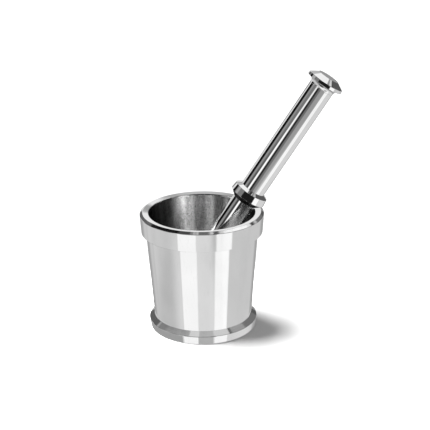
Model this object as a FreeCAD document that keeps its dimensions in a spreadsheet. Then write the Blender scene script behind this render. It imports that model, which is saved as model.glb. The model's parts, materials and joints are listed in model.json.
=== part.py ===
"""Pill crusher: a flanged steel mortar with a loose pestle leaning on its rim.

Millimetres. +Z is up, the origin is the centre of the foot's underside, and the pestle leans towards +X.
Every piece is turned, so each is a half section in its own XZ plane, revolved about its own Z axis.
Mortar pieces stand on the mortar's axis. Pestle pieces are drawn upright from the centre of the
grinding ball, and share one placement that leans them on the rim.
"""
import FreeCAD, Part
import math
import os

import Sketcher

# Driving dimensions, in millimetres and degrees.
DIMENSIONS = {
    # mortar, heights above the table and radii from its axis
    "mortar_height": 76.3,
    "rim_radius": 39.0,
    "lip_inner_radius": 33.5,
    "lip_crest_radius": 37.2,
    "lip_dish": 0.6,
    "lip_bevel_drop": 1.4,
    "collar_depth": 13.0,
    "collar_taper": 0.8,
    "rebate_depth": 6.5,
    "cup_base_radius": 30.55,
    "cup_top_radius": 36.3,
    "foot_radius": 34.5,
    "foot_base_radius": 33.6,
    "foot_edge_height": 5.3,
    "foot_height": 7.8,
    "foot_land": 0.15,
    "floor_height": 5.05,
    "bowl_corner_radius": 13.0,
    "floor_land": 0.4,
    # pestle, distances along its axis from the centre of the ball
    "ball_radius": 11.7,
    "handle_radius": 8.0,
    "tube_wall": 1.2,
    "guard_radius": 11.7,
    "guard_start": 76.6,
    "guard_lower_edge": 79.55,
    "guard_upper_edge": 84.1,
    "guard_end": 86.0,
    "spigot_end": 101.0,
    "cap_spigot_start": 150.0,
    "cap_start": 162.2,
    "cap_cove_radius": 3.4,
    "cap_radius": 11.55,
    "cap_upper_edge": 167.6,
    "cap_flat_radius": 7.4,
    "cap_end": 170.0,
    "stud_radius": 3.0,
    "stud_start": 90.0,
    "stud_end": 160.0,
    "stud_hole_margin": 1.0,
    # where the pestle stands
    "ball_centre_x": -14.45,
    "ball_centre_y": 4.3,
    "ball_gap": 0.05,
    "lean_angle": 32.9,
    # fits and edge rounding
    "seat_gap": 0.02,
    "slip_gap": 0.05,
    "soft_edge": 0.4,
    "crisp_edge": 0.2,
}

# Sizes that follow from the driving dimensions, as sheet formulas.
DERIVED = {
    "cup_slope": "(cup_top_radius - cup_base_radius) / mortar_height",
    "collar_bottom": "mortar_height - collar_depth",
    "wall_end": "mortar_height - rebate_depth",
    "bore_base_radius": "lip_inner_radius - cup_slope * mortar_height",
    "floor_rim_height": "floor_height + bowl_corner_radius",
    "floor_rim_radius": "bore_base_radius + cup_slope * floor_rim_height - seat_gap",
    "floor_flat_radius": "floor_rim_radius - floor_land - bowl_corner_radius",
    "seat_radius": "ball_radius + seat_gap",
    "seat_depth": "sqrt(seat_radius ^ 2 - handle_radius ^ 2)",
    "spigot_radius": "handle_radius - tube_wall - slip_gap",
    "stud_hole_radius": "stud_radius + slip_gap",
    "stud_hole_start": "stud_start - stud_hole_margin",
    "stud_hole_end": "stud_end + stud_hole_margin",
    "cap_lower_edge": "cap_start + cap_cove_radius",
}

PESTLE_PIECES = ("grinding_ball", "lower_shank", "guard_collar", "handle_tube", "tie_rod", "end_cap")
FULL_TURN = 360
SAME_PLACE = 1e-3


def sheet_formula(formula):
    """Writes the sheet's name before each alias in a formula, so that other objects can use it."""
    words = []
    for word in formula.split():
        bare = word.strip("()").removeprefix("sqrt(")
        known = bare in DIMENSIONS or bare in DERIVED
        words.append(word.replace(bare, "dims." + bare) if known else word)
    return " ".join(words)


def make_sheet(document):
    """Puts the dimensions in a spreadsheet, one alias each, so that every piece can be bound to them."""
    sheet = document.addObject("Spreadsheet::Sheet", "dims")
    cells = {alias: str(size) for alias, size in DIMENSIONS.items()}
    cells.update({alias: "=" + formula for alias, formula in DERIVED.items()})
    for row, (alias, text) in enumerate(cells.items(), start=1):
        sheet.set(f"A{row}", alias)
        sheet.set(f"B{row}", text)
        sheet.setAlias(f"B{row}", alias)
    document.recompute()


def origin_plane(body, role):
    """One of a body's own origin planes, such as XZ_Plane."""
    return next(plane for plane in body.Origin.OriginFeatures if plane.Role == role)


def new_body(document, label):
    """Empty PartDesign body whose label is the piece's name."""
    body = document.addObject("PartDesign::Body", label)
    body.Label = label
    return body


def new_sketch(body, name, plane_role):
    """Empty sketch on one of the body's origin planes."""
    sketch = body.newObject("Sketcher::SketchObject", name)
    sketch.AttachmentSupport = [(origin_plane(body, plane_role), "")]
    sketch.MapMode = "FlatFace"
    return sketch


def number(owner, formula):
    """Present value of a formula of sheet aliases."""
    return float(owner.evalExpression(sheet_formula(formula)))


def drive(sketch, kind, geometry, formula, size):
    """Adds a dimension to a sketch and binds it to the sheet."""
    index = sketch.addConstraint(Sketcher.Constraint(kind, *geometry, size))
    sketch.setExpression(f"Constraints[{index}]", sheet_formula(formula))


def fix_point(sketch, side, end, corner):
    """Fixes one end of a side at (radius, height). "0" means on the axis, or at the base."""
    for formula, kind, axis in ((corner[0], "DistanceX", -2), (corner[1], "DistanceY", -1)):
        if formula == "0":
            sketch.addConstraint(Sketcher.Constraint("PointOnObject", side, end, axis))
        else:
            drive(sketch, kind, (-1, 1, side, end), formula, number(sketch, formula))


def arc_between(start, end, radius, turn):
    """Arc of a given radius from start to end. turn is 1 for anticlockwise and -1 for clockwise."""
    chord = end - start
    rise = math.sqrt(radius ** 2 - (chord.Length / 2) ** 2)
    towards_centre = FreeCAD.Vector(-chord.y, chord.x, 0).normalize() * turn
    centre = (start + end) * 0.5 + towards_centre * rise
    angles = [math.atan2(point.y - centre.y, point.x - centre.x) for point in (start, end)]
    circle = Part.Circle(centre, FreeCAD.Vector(0, 0, 1), radius)
    return Part.ArcOfCircle(circle, *angles[::turn])


def turned_body(document, label, corners, arcs=None):
    """Body revolved about its Z axis from a closed half section.

    corners: (radius, height) formulas, in order round the section.
    arcs: {number of the side: (radius formula, turn)} for the sides that are round.
    """
    arcs = arcs or {}
    body = new_body(document, label)
    sketch = new_sketch(body, label + "_section", "XZ_Plane")
    points = [FreeCAD.Vector(number(sketch, across), number(sketch, up), 0) for across, up in corners]
    ends = []
    for side, start in enumerate(points):
        end = points[(side + 1) % len(points)]
        formula, turn = arcs.get(side, (None, 1))
        if formula:
            sketch.addGeometry(arc_between(start, end, number(sketch, formula), turn))
        else:
            sketch.addGeometry(Part.LineSegment(start, end))
        ends.append((1, 2)[::turn])
    for side, (first, last) in enumerate(ends):
        following = (side + 1) % len(points)
        sketch.addConstraint(Sketcher.Constraint("Coincident", side, last, following, ends[following][0]))
        fix_point(sketch, side, first, corners[side])
    for side, (formula, _) in arcs.items():
        drive(sketch, "Radius", (side,), formula, number(sketch, formula))
    revolution = body.newObject("PartDesign::Revolution", label + "_turned")
    revolution.Profile = sketch
    revolution.ReferenceAxis = (sketch, ["V_Axis"])
    revolution.Angle = FULL_TURN
    document.recompute()
    return body


def circle_edges(body, places):
    """Names of the round edges of the body's last feature that lie at the given (radius, height) formulas."""
    wanted = [(number(body, across), number(body, up)) for across, up in places]
    names = []
    for index, edge in enumerate(body.Tip.Shape.Edges, start=1):
        if not isinstance(edge.Curve, Part.Circle):
            continue
        for radius, height in wanted:
            if abs(edge.Curve.Radius - radius) < SAME_PLACE and abs(edge.Curve.Center.z - height) < SAME_PLACE:
                names.append(f"Edge{index}")
    if len(names) < len(wanted):
        raise ValueError(f"{body.Label}: an edge to round is missing")
    return names


def dress_edges(document, body, kind, places, size):
    """Adds a Fillet or a Chamfer of the given size formula to the round edges at the given places."""
    base = body.Tip
    names = circle_edges(body, places)
    feature = body.newObject("PartDesign::" + kind, f"{body.Name}_{kind.lower()}_{size}")
    feature.Base = (base, names)
    driven = "Radius" if kind == "Fillet" else "Size"
    setattr(feature, driven, number(body, size))
    feature.setExpression(driven, sheet_formula(size))
    document.recompute()


def make_cup_wall(document):
    """Tapered tube, open at both ends: its upper end fits in the rim collar's rebate."""
    return turned_body(document, "cup_wall", [
        ("bore_base_radius", "0"),
        ("cup_base_radius", "0"),
        ("cup_base_radius + cup_slope * wall_end", "wall_end"),
        ("bore_base_radius + cup_slope * wall_end", "wall_end"),
    ])


def make_rim_collar(document):
    """Ring with an L-shaped section: a deep outer band, and a dished lip that caps the wall's end."""
    bore = "bore_base_radius + cup_slope * ( wall_end + seat_gap )"
    rebate = "cup_base_radius + cup_slope * {0} + seat_gap"
    body = turned_body(document, "rim_collar", [
        (bore, "wall_end + seat_gap"),
        (rebate.format("wall_end"), "wall_end + seat_gap"),
        (rebate.format("collar_bottom"), "collar_bottom"),
        ("rim_radius - collar_taper", "collar_bottom"),
        ("rim_radius", "mortar_height - lip_bevel_drop"),
        ("lip_crest_radius", "mortar_height"),
        ("lip_inner_radius", "mortar_height - lip_dish"),
    ])
    lip = [
        ("rim_radius", "mortar_height - lip_bevel_drop"),
        ("lip_crest_radius", "mortar_height"),
        ("lip_inner_radius", "mortar_height - lip_dish"),
    ]
    dress_edges(document, body, "Fillet", lip, "soft_edge")
    dress_edges(document, body, "Fillet", [("rim_radius - collar_taper", "collar_bottom")], "crisp_edge")
    return body


def make_foot_ring(document):
    """Base flange: its band widens slightly upwards, then a bevel runs in to the wall."""
    bore_at_top = "cup_base_radius + cup_slope * foot_height + seat_gap"
    body = turned_body(document, "foot_ring", [
        ("cup_base_radius + seat_gap", "0"),
        ("foot_base_radius", "0"),
        ("foot_radius", "foot_edge_height"),
        (bore_at_top + " + foot_land", "foot_height"),
        (bore_at_top, "foot_height"),
    ])
    dress_edges(document, body, "Fillet", [("foot_radius", "foot_edge_height")], "soft_edge")
    dress_edges(document, body, "Fillet", [("foot_base_radius", "0")], "crisp_edge")
    return body


def make_bowl_floor(document):
    """Floor plug wedged in the wall's taper: its top is flat, then sweeps up round the bowl's corner."""
    return turned_body(document, "bowl_floor", [
        ("0", "0"),
        ("bore_base_radius - seat_gap", "0"),
        ("floor_rim_radius", "floor_rim_height"),
        ("floor_rim_radius - floor_land", "floor_rim_height"),
        ("floor_flat_radius", "floor_height"),
        ("0", "floor_height"),
    ], arcs={3: ("bowl_corner_radius", -1)})


def make_grinding_ball(document):
    """Full ball: the pestle's head. It is a sphere, so that the shank can tilt about its centre."""
    ball = document.addObject("Part::Sphere", "grinding_ball")
    ball.Label = "grinding_ball"
    ball.setExpression("Radius", sheet_formula("ball_radius"))
    document.recompute()
    return ball


def make_lower_shank(document):
    """Solid bar with a concave seat for the ball, and a spigot that carries the collar and the tube."""
    return turned_body(document, "lower_shank", [
        ("0", "seat_radius"),
        ("handle_radius", "seat_depth"),
        ("handle_radius", "guard_start"),
        ("spigot_radius", "guard_start"),
        ("spigot_radius", "spigot_end"),
        ("stud_hole_radius", "spigot_end"),
        ("stud_hole_radius", "stud_hole_start"),
        ("0", "stud_hole_start"),
    ], arcs={0: ("seat_radius", -1)})


def make_guard_collar(document):
    """Knob ring that stops the pestle on the rim and the hand on the handle: bevelled above and below."""
    bore = "spigot_radius + slip_gap"
    body = turned_body(document, "guard_collar", [
        (bore, "guard_start"),
        ("handle_radius", "guard_start"),
        ("guard_radius", "guard_lower_edge"),
        ("guard_radius", "guard_upper_edge"),
        ("handle_radius", "guard_end"),
        (bore, "guard_end"),
    ])
    edges = [("guard_radius", "guard_lower_edge"), ("guard_radius", "guard_upper_edge")]
    dress_edges(document, body, "Fillet", edges, "crisp_edge")
    return body


def make_handle_tube(document):
    """Plain tube between the guard collar and the cap."""
    body = new_body(document, "handle_tube")
    sketch = new_sketch(body, "handle_tube_section", "XY_Plane")
    for formula in ("handle_radius", "handle_radius - tube_wall"):
        circle = Part.Circle(FreeCAD.Vector(), FreeCAD.Vector(0, 0, 1), number(sketch, formula))
        side = sketch.addGeometry(circle)
        sketch.addConstraint(Sketcher.Constraint("Coincident", side, 3, -1, 1))
        drive(sketch, "Radius", (side,), formula, number(sketch, formula))
    sketch.setExpression("AttachmentOffset.Base.z", sheet_formula("guard_end"))
    document.recompute()
    pad = body.newObject("PartDesign::Pad", "handle_tube_length")
    pad.Profile = sketch
    pad.setExpression("Length", sheet_formula("cap_start - guard_end"))
    document.recompute()
    return body


def make_tie_rod(document):
    """Stud that draws the cap, tube and collar down onto the shank. Its threads are plain cylinders."""
    body = turned_body(document, "tie_rod", [
        ("0", "stud_start"),
        ("stud_radius", "stud_start"),
        ("stud_radius", "stud_end"),
        ("0", "stud_end"),
    ])
    edges = [("stud_radius", "stud_start"), ("stud_radius", "stud_end")]
    dress_edges(document, body, "Chamfer", edges, "soft_edge")
    return body


def make_end_cap(document):
    """Knob cap: a coved underside, a narrow band, a broad bevel and a flat top, on a spigot in the tube."""
    body = turned_body(document, "end_cap", [
        ("stud_hole_radius", "cap_spigot_start"),
        ("spigot_radius", "cap_spigot_start"),
        ("spigot_radius", "cap_start"),
        ("handle_radius", "cap_start"),
        ("handle_radius + cap_cove_radius", "cap_lower_edge"),
        ("cap_radius", "cap_lower_edge"),
        ("cap_radius", "cap_upper_edge"),
        ("cap_flat_radius", "cap_end"),
        ("0", "cap_end"),
        ("0", "stud_hole_end"),
        ("stud_hole_radius", "stud_hole_end"),
    ], arcs={3: ("cap_cove_radius", -1)})
    edges = [("cap_radius", "cap_upper_edge"), ("cap_flat_radius", "cap_end")]
    dress_edges(document, body, "Fillet", edges, "soft_edge")
    return body


def lean_pestle(document, pieces):
    """Stands the pestle's ball on the bowl's floor and leans the whole pestle towards +X."""
    upright = FreeCAD.Rotation(FreeCAD.Vector(0, 1, 0), 1)
    driven = {
        "Base.x": "ball_centre_x",
        "Base.y": "ball_centre_y",
        "Base.z": "floor_height + ball_gap + ball_radius",
        "Rotation.Angle": "lean_angle",
    }
    for piece in pieces:
        piece.Placement = FreeCAD.Placement(FreeCAD.Vector(), upright)
        for part, formula in driven.items():
            piece.setExpression("Placement." + part, sheet_formula(formula))
    document.recompute()


def check(document, pieces):
    """Stops the build if any object failed, or any piece isn't one valid solid."""
    failed = [item.Name for item in document.Objects if {"Invalid", "Error"} & set(item.State)]
    for piece in pieces:
        shape = piece.Shape
        if shape.isNull() or not shape.isValid() or len(shape.Solids) != 1:
            failed.append(piece.Label)
    if failed:
        raise RuntimeError("failed: " + ", ".join(failed))


def main():
    document = FreeCAD.newDocument("pill_crusher")
    make_sheet(document)
    makers = {
        "cup_wall": make_cup_wall,
        "rim_collar": make_rim_collar,
        "foot_ring": make_foot_ring,
        "bowl_floor": make_bowl_floor,
        "grinding_ball": make_grinding_ball,
        "lower_shank": make_lower_shank,
        "guard_collar": make_guard_collar,
        "handle_tube": make_handle_tube,
        "tie_rod": make_tie_rod,
        "end_cap": make_end_cap,
    }
    pieces = {label: maker(document) for label, maker in makers.items()}
    lean_pestle(document, [pieces[label] for label in PESTLE_PIECES])
    check(document, pieces.values())
    os.makedirs("parts", exist_ok=True)
    for label, piece in pieces.items():
        piece.Shape.exportStep(f"parts/{label}.step")
        print(f"{label}: {piece.Shape.Volume:.1f} mm3, {piece.Shape.BoundBox}")


main()
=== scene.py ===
"""Looks of the pill crusher: a mirror-polished steel mortar with its pestle leaning on the rim.

Metres, in the frame's own axes. Every shown piece but the tie rod is turned on a lathe from a short
outline whose main sizes are measured on the CAD node that it stands for. Bare steel looks like what it
reflects, so the world has two faces: the camera sees a white room, and reflections see a studio of strip
lights, pale walls and dark flags.
"""
import json
import math

import bpy
from mathutils import Matrix, Vector


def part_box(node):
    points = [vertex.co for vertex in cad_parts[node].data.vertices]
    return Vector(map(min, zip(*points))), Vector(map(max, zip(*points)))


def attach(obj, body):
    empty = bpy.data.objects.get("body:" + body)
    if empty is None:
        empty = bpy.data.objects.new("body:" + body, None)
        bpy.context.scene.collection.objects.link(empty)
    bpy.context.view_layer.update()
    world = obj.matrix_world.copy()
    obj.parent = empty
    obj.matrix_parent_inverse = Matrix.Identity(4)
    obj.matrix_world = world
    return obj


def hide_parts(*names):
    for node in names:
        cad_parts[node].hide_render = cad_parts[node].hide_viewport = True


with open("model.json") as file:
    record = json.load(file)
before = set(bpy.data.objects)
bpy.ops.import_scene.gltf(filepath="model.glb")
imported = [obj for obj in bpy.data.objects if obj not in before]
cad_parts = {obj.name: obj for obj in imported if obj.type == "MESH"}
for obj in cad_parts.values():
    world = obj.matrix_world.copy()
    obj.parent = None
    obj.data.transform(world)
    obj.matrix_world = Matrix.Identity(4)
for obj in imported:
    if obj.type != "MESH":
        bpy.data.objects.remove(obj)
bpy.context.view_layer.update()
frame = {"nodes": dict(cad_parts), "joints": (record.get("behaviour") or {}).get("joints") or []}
scene = bpy.context.scene

UP = Vector((0, 0, 1))
FOOT_CENTRE = Vector((0, 0, 0))
TILT = next(joint for joint in frame["joints"] if joint["name"] == "pestle_tilt")
BALL_CENTRE = Vector(TILT["pos_m"])


# ---------------------------------------------------------------------------------------------- camera
CAMERA_DISTANCE = 0.7697
CAMERA_ELEVATION = math.radians(25.36)
CAMERA_PITCH = math.radians(20.24)
CAMERA_YAW = math.radians(0.68)
CAMERA_ROLL = math.radians(-0.55)
CLIP_START = 0.01
LENS_MM = 98.98
SENSOR_MM = 36


def make_camera():
    """Camera in front of the mortar and above it, looking down over the rim."""
    data = bpy.data.cameras.new("camera")
    data.sensor_width = SENSOR_MM
    data.lens = LENS_MM
    data.clip_start = CLIP_START
    camera = bpy.data.objects.new("camera", data)
    scene.collection.objects.link(camera)
    forward = Vector((math.sin(CAMERA_YAW) * math.cos(CAMERA_PITCH),
                      math.cos(CAMERA_YAW) * math.cos(CAMERA_PITCH),
                      -math.sin(CAMERA_PITCH)))
    level = Vector((math.cos(CAMERA_YAW), -math.sin(CAMERA_YAW), 0))
    upward = level.cross(forward)
    right = level * math.cos(CAMERA_ROLL) + upward * math.sin(CAMERA_ROLL)
    turned = Matrix((right, right.cross(forward), -forward)).transposed()
    place = Vector((0, -math.cos(CAMERA_ELEVATION), math.sin(CAMERA_ELEVATION))) * CAMERA_DISTANCE
    camera.matrix_world = Matrix.Translation(place) @ turned.to_4x4()
    scene.camera = camera


# --------------------------------------------------------------------------------------- shader helper
class Nodes:
    """Short way to build a shader tree. Each method after node() adds nodes and returns an output."""

    def __init__(self, tree):
        self.tree = tree
        tree.nodes.clear()

    def put(self, node, socket, value):
        """Links an output to a node's input, or sets the input to a plain value."""
        if isinstance(value, bpy.types.NodeSocket):
            self.tree.links.new(value, node.inputs[socket])
        elif value is not None:
            node.inputs[socket].default_value = value

    def node(self, kind, inputs=None, **settings):
        """Adds a node of a kind, with its settings and inputs, and returns the node itself."""
        node = self.tree.nodes.new("ShaderNode" + kind)
        for name, value in settings.items():
            setattr(node, name, value)
        for socket, value in (inputs or {}).items():
            self.put(node, socket, value)
        return node

    def math(self, operation, *values):
        return self.node("Math", dict(enumerate(values)), operation=operation).outputs[0]

    def step(self, value, start, end, first=0.0, last=1.0):
        """Goes smoothly from first to last as value goes from start to end."""
        inputs = dict(enumerate((value, start, end, first, last)))
        return self.node("MapRange", inputs, interpolation_type="SMOOTHSTEP").outputs[0]

    def mix(self, share, first, second):
        return self.node("Mix", {0: share, 2: first, 3: second}).outputs[0]

    def noise(self, place, scale, detail=2.0, roughness=0.5):
        inputs = {"Vector": place, "Scale": scale, "Detail": detail, "Roughness": roughness}
        return self.node("TexNoise", inputs).outputs[0]

    def stretch(self, place, scale):
        return self.node("Mapping", {"Vector": place, "Scale": scale}).outputs[0]

    def bump(self, height, distance, normal=None):
        return self.node("Bump", {"Height": height, "Distance": distance, "Normal": normal}).outputs[0]


# ---------------------------------------------------------------------------------------------- studio
# What the steel reflects, in degrees. Each panel: azimuth and elevation of its middle, its width and
# height, the softness of its edges, its tilt (degrees up per degree to the right) and its brightness.
# Azimuth is 0 towards the viewer and 90 to the right. A later panel covers an earlier one.
PANELS = {
    # the table's side of the studio, which the mortar's outside and the handle's right half reflect
    "sweep": (0, -55, 400, 80, 8, 0, 0.60),
    "sweep on the left": (-95, -45, 60, 60, 50, 0, 0.52),
    "sweep near the left strip": (-52, -45, 20, 60, 30, 0, 0.72),
    "left of the rim": (-84, -19, 80, 18, 3, 0, 0.63),
    "sweep on the right": (100, -28, 84, 20, 10, 0, 0.61),
    "right of the foot": (100, -54, 96, 40, 5, 0, 0.70),
    "behind the mortar": (180, -40, 72, 60, 16, 0, 0.38),
    "sweep in the middle": (6, -50, 70, 60, 3, 0, 0.74),
    "left strip": (-30, -50, 36, 66, 2, 0, 1.0),
    "right strip": (43, -50, 32, 66, 2, 0, 1.0),
    "left of the foot": (-104, -45, 106, 22, 2, -0.09, 0.37),
    "front of the foot": (6, -50, 37, 22, 3, 0, 0.46),
    # overhead, which the lip's bevel, the foot's bevel and the bowl reflect
    "dark ceiling": (0, 44, 400, 48, 8, 0, 0.06),
    "zenith": (0, 90, 400, 27, 2, 0, 0.14),
    "skylight": (0, 70, 112, 21, 2, 0, 0.47),
    "left skylight": (-50, 73, 44, 12, 8, 0.25, 0.69),
    "right skylight": (74, 68, 38, 15, 3, -0.35, 0.64),
    "left roof": (-100, 52, 66, 10, 5, 0.7, 0.38),
    "left roof edge": (-121, 38, 18, 9, 10, 0.8, 0.23),
    "left roof flag": (-112, 52, 44, 9, 2, 0.82, 0.008),
    "left roof shade": (-78, 73, 24, 8, 2, 0.5, 0.06),
    "right roof shade": (72, 76, 14, 6, 2, -0.3, 0.08),
    # round the horizon, which the handle's left half and the lip reflect
    "back wall": (180, 10.5, 110, 45, 6, 0, 0.85),
    "back ceiling": (180, 51, 30, 34, 6, 0, 0.52),
    "back left of the cap": (168, 24, 7, 30, 3, 0, 0.5),
    "back right lamp": (142, 48, 48, 18, 3, 0, 0.95),
    "right roof wall": (110, 46, 26, 10, 4, -0.8, 0.32),
    "right roof lamp": (104, 60, 32, 10, 3, -0.8, 1.05),
    "right back flag": (143, 11, 50, 36, 4, 0, 0.10),
    "right low roof": (135, 25, 30, 9, 3, -0.8, 0.17),
    "behind the cap": (165, 0, 12, 8, 3, 0, 0.32),
    "behind the cap's edge": (172, 22.5, 9, 7, 2, 0, 0.36),
    "right glint": (118, 35, 5, 6, 2, 0, 0.7),
    "left wall": (-152, -3, 46, 22, 8, 0, 0.68),
    "left low roof": (-145, 16.5, 34, 12, 5, 0.9, 0.12),
    "far left flag": (-112, 16, 34, 30, 3, 0, 0.005),
    "near left wall": (-84, 18, 26, 22, 5, 0, 0.29),
    "near left shade": (-66, 15, 20, 22, 5, 0, 0.04),
    "near left lamp": (-47, 9, 12, 18, 6, 0, 1.15),
    "near left flag": (-29, 2, 18, 24, 4, 0, 0.02),
    "viewer's shade": (-14, -4, 18, 22, 10, 0, 0.16),
    "viewer": (9, -14, 34, 22, 8, -0.3, 0.34),
    # above those, which the knobs' slightly tapered sides reflect
    "high lamp": (-92, 36, 30, 18, 5, 0, 0.42),
    "high wall": (-58, 26, 34, 18, 8, 0, 0.20),
    "hood": (-7.5, 19, 69, 44, 3, -0.6, 0.012),
    "right lamp": (42, -19, 30, 22, 4, -0.5, 1.05),
    "behind flag": (-157, -48, 46, 24, 6, 0, 0.02),
}
BASE_BRIGHTNESS = 0.5  # of the studio between its panels
ROOM_BRIGHTNESS = 0.3  # of the pale room that lights the floor
SEEN_BRIGHTNESS = 1.0  # of the background


def panel_share(nodes, azimuth, elevation, panel):
    """How much of a panel lies in a direction, from 0 outside it to 1 inside."""
    across, up, width, height, soft, tilt, _ = panel
    aside = nodes.math("WRAP", nodes.math("SUBTRACT", azimuth, across), 180, -180)
    middle = nodes.math("MULTIPLY_ADD", aside, tilt, up)
    above = nodes.math("SUBTRACT", elevation, middle)
    shares = [nodes.step(nodes.math("ABSOLUTE", offset), (size + soft) / 2, (size - soft) / 2)
              for offset, size in ((aside, width), (above, height))]
    return nodes.math("MULTIPLY", *shares)


def make_world():
    """The studio that glossy rays see, in a plain pale room that lights everything else."""
    world = bpy.data.worlds.new("studio")
    scene.world = world
    world.use_nodes = True
    nodes = Nodes(world.node_tree)
    direction = nodes.node("TexCoord").outputs["Generated"]
    parts = nodes.node("SeparateXYZ", {0: direction}).outputs
    azimuth = nodes.math("DEGREES", nodes.math("ARCTAN2", parts[0], nodes.math("MULTIPLY", parts[1], -1)))
    elevation = nodes.math("DEGREES", nodes.math("ARCSINE", parts[2]))
    studio = BASE_BRIGHTNESS
    for panel in PANELS.values():
        studio = nodes.mix(panel_share(nodes, azimuth, elevation, panel), studio, panel[-1])
    rays = nodes.node("LightPath").outputs
    first_look = nodes.math("LESS_THAN", rays["Diffuse Depth"], 0.5)
    in_steel = nodes.math("MULTIPLY", rays["Is Glossy Ray"], first_look)
    lit = nodes.mix(in_steel, ROOM_BRIGHTNESS, studio)
    seen = nodes.mix(rays["Is Camera Ray"], lit, SEEN_BRIGHTNESS)
    background = nodes.node("Background", {"Color": seen}).outputs[0]
    nodes.node("OutputWorld", {"Surface": background})


# ------------------------------------------------------------------------------------------- materials
# Noise scales are per metre. A group of three is across, across and along the piece's axis. A spread is
# the part of a noise's range that is used, and a depth is the height in metres of a bump.
SPREAD = (0.3, 0.7)
GRAIN_SCALE = 2600.0

RING_SCALE = (30, 30, 5200)
RING_DEPTH = 0.0000015
WAVE_SCALE = 45.0
WAVE_DEPTH = 0.00004
SMEAR_SCALE = (70, 70, 26)
SMEAR_SPREAD = (0.48, 0.72)
SCRATCH_SCALE = (1500, 1500, 110)
SCRATCH_SPREAD = (0.60, 0.70)
SCRATCH_DEPTH = -0.0000004
SCRATCH_SHARE = 0.4  # of scratches in the dulling, the rest being smears
POLISHED_ROUGHNESS = (0.035, 0.065)
POLISHED_COLOUR = (0.90, 0.94)
DULLED_ROUGHER = 0.085
DULLED_DARKER = -0.06

SATIN_STREAK_SCALE = (240, 240, 14)
SATIN_STREAK_DEPTH = 0.00003
SATIN_GRAIN_DEPTH = 0.00006
SATIN_BLOOM_SCALE = 60.0
SATIN_SPREAD = (0.36, 0.64)
SATIN_SUM_SPREAD = (0.7, 1.3)  # of two noises added up
SATIN_ROUGHNESS = (0.30, 0.42)
# Far darker than bare steel: painted shade for the inside of the bowl and the guard's underside.
SATIN_PAINTED_SHADE_COLOUR = (0.04, 0.15)
SATIN_STRETCH = 0.95  # how far the turned rings draw a reflection out
QUARTER_TURN = 0.25
GRAZING_TINT = (0.3, 0.3, 0.3, 1)  # keeps the satin dark where it is seen at a low angle

GROUND_BLOOM_SCALE = 140.0
GROUND_GRAIN_DEPTH = 0.000008
GROUND_SCRATCH_SCALE = (300, 1500, 1500)
GROUND_SCRATCH_DEPTH = 0.000004
GROUND_SPREAD = (0.35, 0.65)
GROUND_ROUGHNESS = (0.24, 0.38)
GROUND_COLOUR = (0.50, 0.70)

DRAWN_LINE_SCALE = (2400, 2400, 40)
DRAWN_LINE_DEPTH = 0.00001
OXIDE_SCALE = 120.0
DRAWN_ROUGHNESS = (0.25, 0.42)
DRAWN_COLOUR = (0.45, 0.58)


def new_material(name):
    """Node material with an empty tree, and the object coordinates of the piece that wears it."""
    material = bpy.data.materials.new(name)
    material.use_nodes = True
    nodes = Nodes(material.node_tree)
    return material, nodes, nodes.node("TexCoord").outputs["Object"]


def finish_metal(nodes, colour, roughness, normal, extra=None):
    """Bare metal with the given colour, roughness and normal, and perhaps extra inputs."""
    inputs = {"Base Color": colour, "Metallic": 1.0, "Roughness": roughness, "Normal": normal}
    inputs.update(extra or {})
    surface = nodes.node("BsdfPrincipled", inputs).outputs[0]
    nodes.node("OutputMaterial", {"Surface": surface})


def polished_steel():
    """Mirror finish: rings left by the polishing wheel, a slow waviness, thin smears and fine scratches."""
    material, nodes, place = new_material("polished_steel")
    rings = nodes.noise(nodes.stretch(place, RING_SCALE), 1.0, 3.0)
    waves = nodes.noise(place, WAVE_SCALE, 1.0)
    smears = nodes.step(nodes.noise(nodes.stretch(place, SMEAR_SCALE), 1.0, 4.0), *SMEAR_SPREAD)
    scratches = nodes.step(nodes.noise(nodes.stretch(place, SCRATCH_SCALE), 1.0, 2.0), *SCRATCH_SPREAD)
    dulling = nodes.mix(SCRATCH_SHARE, smears, scratches)
    shine = nodes.step(rings, *SPREAD, *POLISHED_ROUGHNESS)
    roughness = nodes.math("MULTIPLY_ADD", dulling, DULLED_ROUGHER, shine)
    brightness = nodes.step(waves, *SPREAD, *POLISHED_COLOUR)
    colour = nodes.math("MULTIPLY_ADD", dulling, DULLED_DARKER, brightness)
    fine = nodes.bump(scratches, SCRATCH_DEPTH, nodes.bump(rings, RING_DEPTH))
    finish_metal(nodes, colour, roughness, nodes.bump(waves, WAVE_DEPTH, fine))
    return material


def satin_steel():
    """Inside of the bowl and under the guard: turned rings that draw reflections out up and down, grain, a
    bloom of wear, and painted shade in a colour far darker than steel.
    """
    material, nodes, place = new_material("satin_steel")
    grain = nodes.noise(place, GRAIN_SCALE, 2.0)
    streaks = nodes.noise(nodes.stretch(place, SATIN_STREAK_SCALE), 1.0, 3.0)
    bloom = nodes.noise(place, SATIN_BLOOM_SCALE, 3.0)
    roughness = nodes.step(nodes.math("ADD", grain, streaks), *SATIN_SUM_SPREAD, *SATIN_ROUGHNESS)
    mottle = nodes.mix(0.6, nodes.mix(0.5, streaks, bloom), grain)
    colour = nodes.step(mottle, *SATIN_SPREAD, *SATIN_PAINTED_SHADE_COLOUR)
    normal = nodes.bump(streaks, SATIN_STREAK_DEPTH, nodes.bump(grain, SATIN_GRAIN_DEPTH))
    tangent = nodes.node("Tangent", direction_type="RADIAL", axis="Z").outputs[0]
    finish_metal(nodes, colour, roughness, normal, {
        "Specular Tint": GRAZING_TINT,
        "Anisotropic": SATIN_STRETCH,
        "Anisotropic Rotation": QUARTER_TURN,
        "Tangent": tangent,
    })
    return material


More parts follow.
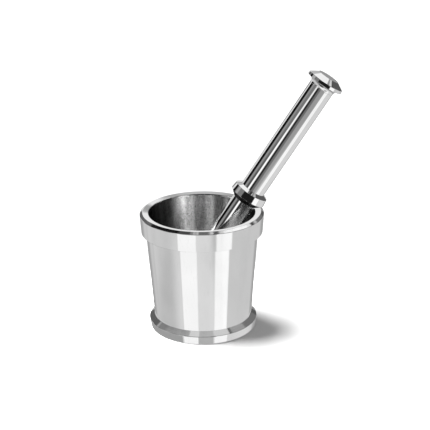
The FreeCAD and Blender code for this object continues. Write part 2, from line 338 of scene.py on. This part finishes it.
def ground_steel():
    """The ball: ground to a fine even grain, with a paler bloom where it has rubbed."""
    material, nodes, place = new_material("ground_steel")
    grain = nodes.noise(place, GRAIN_SCALE, 3.0)
    bloom = nodes.noise(place, GROUND_BLOOM_SCALE, 4.0)
    scratches = nodes.noise(nodes.stretch(place, GROUND_SCRATCH_SCALE), 1.0, 2.0)
    colour = nodes.step(nodes.mix(0.4, bloom, scratches), *GROUND_SPREAD, *GROUND_COLOUR)
    roughness = nodes.step(nodes.mix(0.5, bloom, grain), *GROUND_SPREAD, *GROUND_ROUGHNESS)
    normal = nodes.bump(grain, GROUND_GRAIN_DEPTH, nodes.bump(scratches, GROUND_SCRATCH_DEPTH))
    finish_metal(nodes, colour, roughness, normal)
    return material


def plain_steel():
    """Drawn bar: lengthwise lines and a dull oxide tone."""
    material, nodes, place = new_material("plain_steel")
    lines = nodes.noise(nodes.stretch(place, DRAWN_LINE_SCALE), 1.0, 2.0)
    tone = nodes.noise(place, OXIDE_SCALE, 3.0)
    colour = nodes.step(tone, *SPREAD, *DRAWN_COLOUR)
    roughness = nodes.step(lines, *SPREAD, *DRAWN_ROUGHNESS)
    finish_metal(nodes, colour, roughness, nodes.bump(lines, DRAWN_LINE_DEPTH))
    return material


# ---------------------------------------------------------------------------------------------- floor
FLOOR_REACH = 3.0
FLOOR_DROP = 0.0001
# White round the mortar, where the key lamp bleaches all but the deepest shadow, and painted greyer further
# out as painted shade against the key lamp's glare, so that the glare doesn't eat in to the object's
# outline.
FLOOR_ALBEDO = 0.97
FLOOR_PAINTED_DIM_ALBEDO = 0.43
WHITE_REACH = 0.075
GREY_REACH = 0.115
FLOOR_GRAIN = 0.02
FLOOR_GRAIN_SCALE = 900.0


def make_floor():
    """Pale floor that the mortar stands on, painted greyer away from it as painted shade against the key
    lamp's glare. The steel reflects the studio in its place.
    """
    mesh = bpy.data.meshes.new("floor")
    signs = ((-1, -1), (1, -1), (1, 1), (-1, 1))
    corners = [(across * FLOOR_REACH, deep * FLOOR_REACH, 0) for across, deep in signs]
    mesh.from_pydata(corners, [], [range(len(corners))])
    floor = bpy.data.objects.new("floor", mesh)
    scene.collection.objects.link(floor)
    floor.location.z = -FLOOR_DROP
    material, nodes, place = new_material("floor")
    distance = nodes.node("VectorMath", {0: place}, operation="LENGTH").outputs["Value"]
    albedo = nodes.step(distance, WHITE_REACH, GREY_REACH, FLOOR_ALBEDO, FLOOR_PAINTED_DIM_ALBEDO)
    grain = nodes.math("MULTIPLY", nodes.noise(place, FLOOR_GRAIN_SCALE), FLOOR_GRAIN)
    paint = nodes.node("BsdfDiffuse", {"Color": nodes.math("ADD", albedo, grain)}).outputs[0]
    nodes.node("OutputMaterial", {"Surface": paint})
    mesh.materials.append(material)
    floor.visible_glossy = False


# ---------------------------------------------------------------------------------------------- lamps
KEY_FROM = Vector((-0.47, 0.19, 1.0))
KEY_WIDTH = 43
KEY_STRENGTH = 9.0
# Snooted lamps that light nothing but the bowl: azimuth, elevation and width in degrees, and strength.
BOWL_LAMPS = {
    "bowl lamp": (43, 44, 34, 17.0),
    "bowl fill": (-18, 58, 18, 10.0),
    "bowl side lamp": (-98, 48, 34, 16.0),
}


def direction_of(azimuth, elevation):
    """Unit vector towards an azimuth and elevation in degrees. Azimuth 0 is towards the viewer."""
    across, up = math.radians(azimuth), math.radians(elevation)
    return Vector((math.sin(across) * math.cos(up), -math.cos(across) * math.cos(up), math.sin(up)))


def make_sun(name, towards, width, strength):
    """Distant soft lamp in a given direction, its width in degrees."""
    light = bpy.data.lights.new(name, "SUN")
    light.energy = strength
    light.angle = math.radians(width)
    lamp = bpy.data.objects.new(name, light)
    scene.collection.objects.link(lamp)
    lamp.rotation_mode = "QUATERNION"
    lamp.rotation_quaternion = towards.to_track_quat("Z", "Y")
    return lamp


def make_lamps(bowl_pieces):
    """Key lamp that casts the shadow, which the steel doesn't reflect, and the bowl's own lamps."""
    key = make_sun("key", KEY_FROM, KEY_WIDTH, KEY_STRENGTH)
    key.visible_glossy = False
    bowl = bpy.data.collections.new("bowl")
    for piece in bowl_pieces:
        bowl.objects.link(piece)
    for name, (azimuth, elevation, width, strength) in BOWL_LAMPS.items():
        lamp = make_sun(name, direction_of(azimuth, elevation), width, strength)
        lamp.light_linking.receiver_collection = bowl


# --------------------------------------------------------------------------------------------- turning
TURN_STEPS = 256
ARC_SAGITTA = 0.000002
LEAST_ARC_STEPS = 3


def arc_steps(radius, angle):
    """Number of straight steps that keep an arc within ARC_SAGITTA of round."""
    widest = 2 * math.acos(1 - min(ARC_SAGITTA / radius, 1))
    return max(LEAST_ARC_STEPS, math.ceil(angle / widest))


def rounded(corners, closed):
    """Points and outward normals of an outline whose corners are rounded.

    corners: (radius, height, rounding), anticlockwise as seen with the axis on the left. An open
    outline keeps its two end corners sharp, because they lie on the axis.
    """
    spots = [Vector(corner[:2]) for corner in corners]
    count = len(spots)
    points = []
    for index, (spot, (_, _, rounding)) in enumerate(zip(spots, corners)):
        arriving = (spot - spots[index - 1]).normalized()
        leaving = (spots[(index + 1) % count] - spot).normalized()
        if not closed and index in (0, count - 1):
            side = leaving if index == 0 else arriving
            points.append((spot, Vector((side.y, -side.x))))
            continue
        turn = math.atan2(arriving.cross(leaving), arriving.dot(leaving))
        reach = rounding * math.tan(abs(turn) / 2)
        first = Vector((arriving.y, -arriving.x))
        outwards = math.copysign(rounding, turn)
        centre = spot - arriving * reach - first * outwards
        steps = arc_steps(rounding, abs(turn))
        for step in range(steps + 1):
            normal = Matrix.Rotation(turn * step / steps, 2) @ first
            points.append((centre + normal * outwards, normal))
    return points


ON_AXIS = 1e-7
INWARDS = Vector((-1, 0))
DOWNWARDS = Vector((0, -1))
LEAST_PAINTED_SHADE_FACING = 0.5
# Reflections leave the handle out, so that it puts no streak on the lip, the guard or the mortar.
UNREFLECTED_BODY = "pestle_handle"


def turned_piece(name, corners, node, body, slot, materials, origin=FOOT_CENTRE, axis=UP, closed=True,
                 painted_shade_way=INWARDS):
    """Piece turned from an outline about an axis. It stands for a CAD node and rides on its body.

    slot: the record's material slot for the node; not used. closed: whether the outline's last corner joins
    its
    first. materials: one for most faces, and perhaps a second, darker one as painted shade on the faces that
    look the given way.
    """
    outline = rounded(corners, closed)
    verts, normals, rings = [], [], []
    for (radius, height), normal in outline:
        if radius < ON_AXIS:
            rings.append([len(verts)] * TURN_STEPS)
            verts.append((0, 0, height))
            normals.append((0, 0, math.copysign(1, normal.y)))
            continue
        rings.append(range(len(verts), len(verts) + TURN_STEPS))
        for step in range(TURN_STEPS):
            angle = math.tau * step / TURN_STEPS
            verts.append((radius * math.cos(angle), radius * math.sin(angle), height))
            normals.append((normal.x * math.cos(angle), normal.x * math.sin(angle), normal.y))
    faces, material_picks = [], []
    for index in range(len(rings) if closed else len(rings) - 1):
        lower, upper = rings[index], rings[(index + 1) % len(rings)]
        facing = (outline[index][1] + outline[(index + 1) % len(rings)][1]) / 2
        # Faces that look the given way take the second material, which paints shade on them.
        is_painted_shade = facing.dot(painted_shade_way) > LEAST_PAINTED_SHADE_FACING
        for step in range(TURN_STEPS):
            after = (step + 1) % TURN_STEPS
            face = (lower[step], lower[after], upper[after], upper[step])
            faces.append(list(dict.fromkeys(face)))
            material_picks.append(int(is_painted_shade))
    mesh = bpy.data.meshes.new(name)
    mesh.from_pydata(verts, [], faces)
    mesh.shade_smooth()
    mesh.normals_split_custom_set_from_vertices(normals)
    for material in materials:
        mesh.materials.append(material)
    if len(materials) > 1:
        mesh.polygons.foreach_set("material_index", material_picks)
    piece = bpy.data.objects.new(name, mesh)
    piece.visible_glossy = body != UNREFLECTED_BODY
    scene.collection.objects.link(piece)
    piece.matrix_world = Matrix.Translation(origin) @ UP.rotation_difference(axis).to_matrix().to_4x4()
    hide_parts(node)
    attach(piece, body)
    return piece


SAME_HEIGHT = 0.00001


def measure(node, origin, axis):
    """(height, distance from the axis) of each vertex of a CAD node."""
    spots = []
    for vertex in frame["nodes"][node].data.vertices:
        offset = vertex.co - origin
        height = offset.dot(axis)
        spots.append((height, (offset - axis * height).length))
    return spots


def ends(node, origin, axis):
    """Lowest and highest height, and least and greatest distance from the axis, of a CAD node."""
    heights, distances = zip(*measure(node, origin, axis))
    return min(heights), max(heights), min(distances), max(distances)


def radii_at(node, height, origin, axis):
    """Least and greatest distance from the axis of a CAD node's vertices at one height."""
    spots = measure(node, origin, axis)
    distances = [distance for high, distance in spots if abs(high - height) < SAME_HEIGHT]
    return min(distances), max(distances)


PESTLE_AXIS = (sum(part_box("handle_tube"), Vector()) / 2 - BALL_CENTRE).normalized()
MORTAR = (FOOT_CENTRE, UP)
PESTLE = (BALL_CENTRE, PESTLE_AXIS)
# Roundings of the edges, from one that only keeps a joint line sharp to one that catches the light.
KNIFE = 0.00001
KEEN = 0.00002
FINE = 0.00004
TINY = 0.00008
CRISP = 0.0002
SOFT = 0.0004

# The mortar's turned details.
COLLAR_TAPER = 0.0008
LIP_BEVEL_DROP = 0.0014
LIP_BEVEL_WIDTH = 0.0018
LIP_DISH = 0.0006
LIP_DEPTH = 0.0014
THROAT_WALL = 0.001
SKIN_GAP = 0.00002  # between the wall's polished outer half and its satin lining
FOOT_TAPER = 0.0009
FOOT_BEVEL_DROP = 0.0025
PLUG_LAND = 0.0004

# The pestle's turned details.
SEAT_STEPS = 12
STUD_HOLE_MARGIN = 0.001
GUARD_LOWER_BEVEL = 0.0033
GUARD_UPPER_BEVEL = 0.0015
GUARD_TAPER = 0.00055
CAP_SPREAD = 0.00025
CAP_TAPER = 0.0002
CAP_COVE = 0.0034
CAP_TOP_BEVEL = 0.0024
CAP_FLAT_RADIUS = 0.0067
CAP_RISE = 0.0004


def make_mortar(polished, satin):
    """Wall, rim collar, foot ring and bowl floor, on the mortar's axis.

    The wall and the rim are each turned as a polished piece and a satin one, because the bowl has lamps
    of its own. Returns the three satin pieces that face the bowl.
    """
    _, wall_end, _, _ = ends("cup_wall", *MORTAR)
    bore_low, wall_low = radii_at("cup_wall", 0, *MORTAR)
    bore_high, wall_high = radii_at("cup_wall", wall_end, *MORTAR)
    middle_low = (bore_low + wall_low) / 2
    middle_high = (bore_high + wall_high) / 2
    turned_piece("mortar_wall", [
        (middle_low, 0, TINY),
        (wall_low, 0, TINY),
        (wall_high, wall_end, TINY),
        (middle_high, wall_end, TINY),
    ], "cup_wall", "mortar", "polished_steel", [polished])
    lining = turned_piece("mortar_lining", [
        (bore_low, 0, TINY),
        (middle_low - SKIN_GAP, 0, TINY),
        (middle_high - SKIN_GAP, wall_end, TINY),
        (bore_high, wall_end, TINY),
    ], "cup_wall", "mortar", "satin_steel", [satin])

    # The rings stand off the tapered wall by the gap that the CAD leaves under the collar.
    collar_low, rim_top, _, rim_radius = ends("rim_collar", *MORTAR)
    slope = (wall_high - wall_low) / wall_end
    rebate_low, _ = radii_at("rim_collar", collar_low, *MORTAR)
    gap = rebate_low - wall_low - slope * collar_low
    throat_end = rim_top - LIP_DEPTH
    throat_radius = bore_high + slope * (throat_end - wall_end)
    turned_piece("mortar_rim", [
        (bore_high + THROAT_WALL + gap, wall_end + gap, TINY),
        (rebate_low + slope * (wall_end - collar_low), wall_end + gap, TINY),
        (rebate_low, collar_low, TINY),
        (rim_radius - COLLAR_TAPER, collar_low, CRISP),
        (rim_radius, rim_top - LIP_BEVEL_DROP, SOFT),
        (rim_radius - LIP_BEVEL_WIDTH, rim_top, SOFT),
        (bore_high + slope * (rim_top - wall_end), rim_top - LIP_DISH, SOFT),
        (throat_radius, throat_end + gap, FINE),
        (throat_radius + THROAT_WALL + gap, throat_end + gap, FINE),
    ], "rim_collar", "mortar", "polished_steel", [polished])
    throat = turned_piece("mortar_throat", [
        (bore_high, wall_end + gap, TINY),
        (bore_high + THROAT_WALL, wall_end + gap, TINY),
        (throat_radius + THROAT_WALL, throat_end, TINY),
        (throat_radius, throat_end, TINY),
    ], "rim_collar", "mortar", "satin_steel", [satin])

    _, foot_top, foot_bore, foot_radius = ends("foot_ring", *MORTAR)
    foot_seat = wall_low + slope * foot_top
    turned_piece("mortar_foot", [
        (foot_bore, 0, TINY),
        (foot_radius - FOOT_TAPER, 0, CRISP),
        (foot_radius, foot_top - FOOT_BEVEL_DROP, SOFT),
        (foot_seat + gap * 2, foot_top, FINE),
        (foot_seat + gap, foot_top - gap, KNIFE),
    ], "foot_ring", "mortar", "polished_steel", [polished])

    _, plug_top, _, plug_radius = ends("bowl_floor", *MORTAR)
    _, plug_low = radii_at("bowl_floor", 0, *MORTAR)
    floor_height = min(height for height, _ in measure("bowl_floor", *MORTAR) if height > SAME_HEIGHT)
    floor = turned_piece("mortar_floor", [
        (0, 0, 0),
        (plug_low, 0, TINY),
        (plug_radius, plug_top, FINE),
        (plug_radius - PLUG_LAND, plug_top, FINE),
        (plug_radius - PLUG_LAND, floor_height, plug_top - floor_height - TINY),
        (0, floor_height, 0),
    ], "bowl_floor", "mortar", "satin_steel", [satin], closed=False)
    return lining, throat, floor


def ball_seat(radius, rim):
    """Outline of the hollow in the shank's end that fits the ball, from the axis out to the shank's rim."""
    angle = math.asin(rim / radius)
    corners = []
    for step in range(SEAT_STEPS + 1):
        turn = angle * step / SEAT_STEPS
        rounding = TINY if step == SEAT_STEPS else KEEN
        corners.append((radius * math.sin(turn), radius * math.cos(turn), rounding))
    return corners


def make_pestle(polished, satin, ground):
    """Ball, shank, guard collar, grip and cap, all on the pestle's axis."""
    # The ball's outline is a square whose corners are rounded until they meet.
    _, _, _, ball_radius = ends("grinding_ball", *PESTLE)
    turned_piece("pestle_ball", [
        (0, -ball_radius, 0),
        (ball_radius, -ball_radius, ball_radius - ON_AXIS),
        (ball_radius, ball_radius, ball_radius - ON_AXIS),
        (0, ball_radius, 0),
    ], "grinding_ball", "pestle_head", "satin_steel", [ground], *PESTLE, closed=False)

    _, spigot_end, _, handle_radius = ends("lower_shank", *PESTLE)
    hole_radius, spigot_radius = radii_at("lower_shank", spigot_end, *PESTLE)
    guard_low, guard_high, _, guard_radius = ends("guard_collar", *PESTLE)
    seat_top = min(height for height, distance in measure("lower_shank", *PESTLE)
                   if distance > handle_radius - SAME_HEIGHT)
    rod_start, rod_end, _, _ = ends("tie_rod", *PESTLE)
    turned_piece("pestle_shank", [
        *ball_seat(math.hypot(handle_radius, seat_top), handle_radius),
        (handle_radius, guard_low, TINY),
        (spigot_radius, guard_low, TINY),
        (spigot_radius, spigot_end, TINY),
        (hole_radius, spigot_end, TINY),
        (hole_radius, rod_start - STUD_HOLE_MARGIN, TINY),
        (0, rod_start - STUD_HOLE_MARGIN, 0),
    ], "lower_shank", "pestle_handle", "polished_steel", [polished], *PESTLE, closed=False)

    guard_bore, _ = radii_at("guard_collar", guard_low, *PESTLE)
    # The guard's downward faces take the dark satin as painted shade under the guard.
    turned_piece("pestle_guard", [
        (guard_bore, guard_low, TINY),
        (handle_radius, guard_low, TINY),
        (guard_radius, guard_low + GUARD_LOWER_BEVEL, CRISP),
        (guard_radius - GUARD_TAPER, guard_high - GUARD_UPPER_BEVEL, CRISP),
        (handle_radius, guard_high, TINY),
        (guard_bore, guard_high, TINY),
    ], "guard_collar", "pestle_handle", "polished_steel", [polished, satin], *PESTLE, painted_shade_way=DOWNWARDS)

    tube_low, tube_high, tube_bore, tube_radius = ends("handle_tube", *PESTLE)
    turned_piece("pestle_grip", [
        (tube_bore, tube_low, TINY),
        (tube_radius, tube_low, TINY),
        (tube_radius, tube_high, TINY),
        (tube_bore, tube_high, TINY),
    ], "handle_tube", "pestle_handle", "polished_steel", [polished], *PESTLE)

    cap_spigot, cap_end, _, cap_radius = ends("end_cap", *PESTLE)
    stud_hole, _ = radii_at("end_cap", cap_spigot, *PESTLE)
    band_radius = cap_radius + CAP_SPREAD
    turned_piece("pestle_cap", [
        (0, rod_end + STUD_HOLE_MARGIN, 0),
        (stud_hole, rod_end + STUD_HOLE_MARGIN, TINY),
        (stud_hole, cap_spigot, TINY),
        (spigot_radius, cap_spigot, TINY),
        (spigot_radius, tube_high, TINY),
        (handle_radius, tube_high, TINY),
        (handle_radius, tube_high + CAP_COVE, CAP_COVE - 2 * TINY),
        (band_radius, tube_high + CAP_COVE, TINY),
        (band_radius - CAP_TAPER, cap_end - CAP_TOP_BEVEL, SOFT),
        (CAP_FLAT_RADIUS, cap_end + CAP_RISE, SOFT),
        (0, cap_end + CAP_RISE, 0),
    ], "end_cap", "pestle_handle", "polished_steel", [polished], *PESTLE, closed=False)


def main():
    """Builds the stage, the materials, the mortar and the pestle, and gives the tie rod its drawn steel."""
    make_camera()
    make_world()
    make_floor()
    scene.view_settings.view_transform = "Standard"
    polished = polished_steel()
    satin = satin_steel()
    make_lamps(make_mortar(polished, satin))
    make_pestle(polished, satin, ground_steel())
    rod = frame["nodes"]["tie_rod"]
    rod.data.materials.clear()
    rod.data.materials.append(plain_steel())


main()
